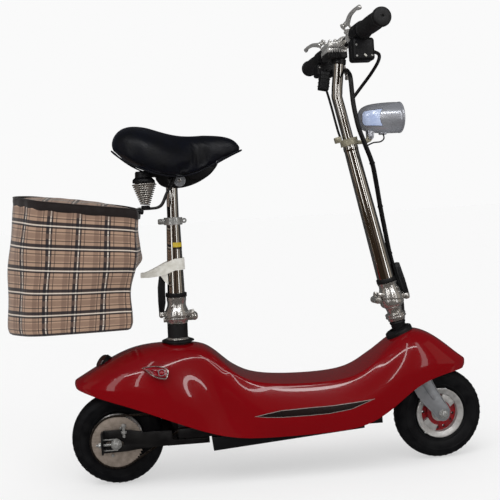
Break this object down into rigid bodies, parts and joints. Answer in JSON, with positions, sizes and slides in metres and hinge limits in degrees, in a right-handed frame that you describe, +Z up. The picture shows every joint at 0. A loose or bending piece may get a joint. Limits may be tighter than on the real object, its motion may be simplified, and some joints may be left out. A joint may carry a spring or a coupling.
{
  "type": "folding electric scooter",
  "caption": "Folding stand-up electric scooter with a sprung saddle on a post, a cloth bag behind it, small tyred wheels and a moulded body over the battery tray.",
  "frame": {"origin": "on the ground, under the middle of the whole outline", "axes": "+X forward, +Y to the rider's left, +Z up"},
  "size_m": [1.0298, 0.5459, 0.9633],
  "materials": {
    "red_body": "gloss red moulding",
    "chrome": "polished",
    "chrome_spring": "polished wire",
    "black_plastic": "satin black",
    "black_paint": "semi-gloss black",
    "rubber": "matt",
    "tyre": "matt",
    "steel": "oiled steel",
    "zinc": "bright zinc",
    "cast_alloy": "cast, satin",
    "vinyl": "black leather-look vinyl",
    "cloth": "checked woven cloth",
    "webbing": "white webbing",
    "silver_plastic": "silver",
    "clear": "clear",
    "red_lens": "red lens"
  },
  "bodies": {
    "chassis": {"body_shell": "red_body", "main_frame": "black_paint", "rear_fork": "black_paint", "battery_tray": "black_plastic", "battery_pack": "black_plastic", "controller": "cast_alloy", "motor": "black_paint", "chain": "steel", "rear_axle": "chrome", "brake_band": "black_paint", "tail_lamp": "black_plastic", "right_side_lamp": "red_lens", "left_side_lamp": "red_lens", "seat_gasket": "rubber", "seat_socket": "black_paint", "seat_hinge_base": "chrome", "head_gasket": "rubber"},
    "stand": {"kickstand": "black_paint"},
    "rear_wheel": {"rear_tyre": "tyre", "rear_rim": "cast_alloy", "rear_sprocket": "steel"},
    "rotor": {"motor_sprocket": "steel"},
    "steering": {"fork": "cast_alloy", "front_axle": "chrome", "column_hinge_base": "chrome"},
    "front_wheel": {"front_tyre": "tyre", "front_rim": "cast_alloy"},
    "column": {"column_hinge_top": "chrome", "column_tube": "chrome", "height_clamp": "chrome", "cable_harness": "rubber"},
    "column_lever": {"column_latch": "black_plastic"},
    "headlight": {"headlight_housing": "silver_plastic", "headlight_lens": "clear"},
    "bar": {"inner_column": "chrome", "stem_clamp": "black_paint", "handlebar": "chrome", "left_grip": "rubber", "throttle_housing": "black_plastic", "left_switch_housing": "black_plastic", "right_brake_perch": "chrome", "left_brake_perch": "chrome", "connector_box": "black_plastic"},
    "throttle": {"throttle_grip": "rubber"},
    "button": {"switch_button": "black_plastic"},
    "right_lever": {"right_brake_lever": "chrome"},
    "left_lever": {"left_brake_lever": "chrome"},
    "post": {"seat_hinge_top": "chrome", "seat_tube": "chrome", "seat_clamp": "zinc"},
    "post_lever": {"seat_latch": "black_plastic"},
    "saddle": {"seat_post": "chrome", "saddle_cover": "vinyl", "saddle_base": "black_plastic", "saddle_rods": "black_paint", "left_spring": "chrome_spring", "right_spring": "chrome_spring", "bag": "cloth", "bag_strap": "webbing"}
  },
  "joints": [
    {"name": "rear_wheel_spin", "type": "hinge", "parent": "chassis", "child": "rear_wheel", "pos_m": [-0.2937, 0, 0.1], "axis": [0, 1, 0], "continuous": true},
    {"name": "motor_spin", "type": "hinge", "parent": "chassis", "child": "rotor", "pos_m": [-0.1377, 0, 0.141], "axis": [0, 1, 0], "continuous": true},
    {"name": "kickstand_fold", "type": "hinge", "parent": "chassis", "child": "stand", "pos_m": [-0.2087, 0.07, 0.084], "axis": [0, 1, 0], "range_deg": [0, 75]},
    {"name": "steering_turn", "type": "hinge", "parent": "chassis", "child": "steering", "pos_m": [0.33656, 0, 0.3], "axis": [-0.2106, 0, 0.9776], "range_deg": [-41, 27]},
    {"name": "front_wheel_spin", "type": "hinge", "parent": "steering", "child": "front_wheel", "pos_m": [0.41475, 0.00422, 0.10015], "axis": [-0.1191, 0.9925, -0.0257], "continuous": true},
    {"name": "column_fold", "type": "hinge", "parent": "steering", "child": "column", "pos_m": [0.28855, -0.0042, 0.36055], "axis": [-0.1191, 0.9925, -0.0257], "range_deg": [-20, 0]},
    {"name": "column_latch_turn", "type": "hinge", "parent": "column", "child": "column_lever", "pos_m": [0.35705, 0.00411, 0.36395], "axis": [-0.1191, 0.9925, -0.0257], "range_deg": [0, 100]},
    {"name": "bar_lowering", "type": "slide", "parent": "column", "child": "bar", "axis": [0.2106, 0, -0.9776], "range_m": [0, 0.08], "deforming": ["cable_harness"]},
    {"name": "headlight_tilt", "type": "hinge", "parent": "column", "child": "headlight", "pos_m": [0.29594, 0.00596, 0.71892], "axis": [-0.1191, 0.9925, -0.0257], "range_deg": [-20, 15]},
    {"name": "throttle_twist", "type": "hinge", "parent": "bar", "child": "throttle", "pos_m": [0.24202, 0.00465, 0.91864], "axis": [0.1191, -0.9925, 0.0257], "range_deg": [0, 60], "stiffness_Nm_per_rad": 0.3},
    {"name": "right_brake_squeeze", "type": "hinge", "parent": "bar", "child": "right_lever", "pos_m": [0.23629, -0.08802, 0.94589], "axis": [0.8223, 0.1131, 0.5577], "range_deg": [0, 8], "stiffness_Nm_per_rad": 3},
    {"name": "left_brake_squeeze", "type": "hinge", "parent": "bar", "child": "left_lever", "pos_m": [0.21437, 0.09461, 0.94117], "axis": [-0.8223, -0.1131, -0.5577], "range_deg": [0, 8], "stiffness_Nm_per_rad": 3},
    {"name": "switch_press", "type": "slide", "parent": "bar", "child": "button", "axis": [-0.9929, -0.1191, 0.0015], "range_m": [0, 0.002], "stiffness_N_per_m": 500},
    {"name": "seat_fold", "type": "hinge", "parent": "chassis", "child": "post", "pos_m": [-0.1127, 0, 0.353], "axis": [0, 1, 0], "range_deg": [0, 70]},
    {"name": "seat_latch_turn", "type": "hinge", "parent": "post", "child": "post_lever", "pos_m": [-0.1831, 0, 0.3585], "axis": [0, -1, 0], "range_deg": [0, 32]},
    {"name": "seat_lowering", "type": "slide", "parent": "post", "child": "saddle", "axis": [-0.0227, 0, -0.9997], "range_m": [-0.05, 0.02]}
  ],
  "couplings": [
    {"joint": "motor_spin", "follows": "rear_wheel_spin", "ratio": 5}
  ]
}
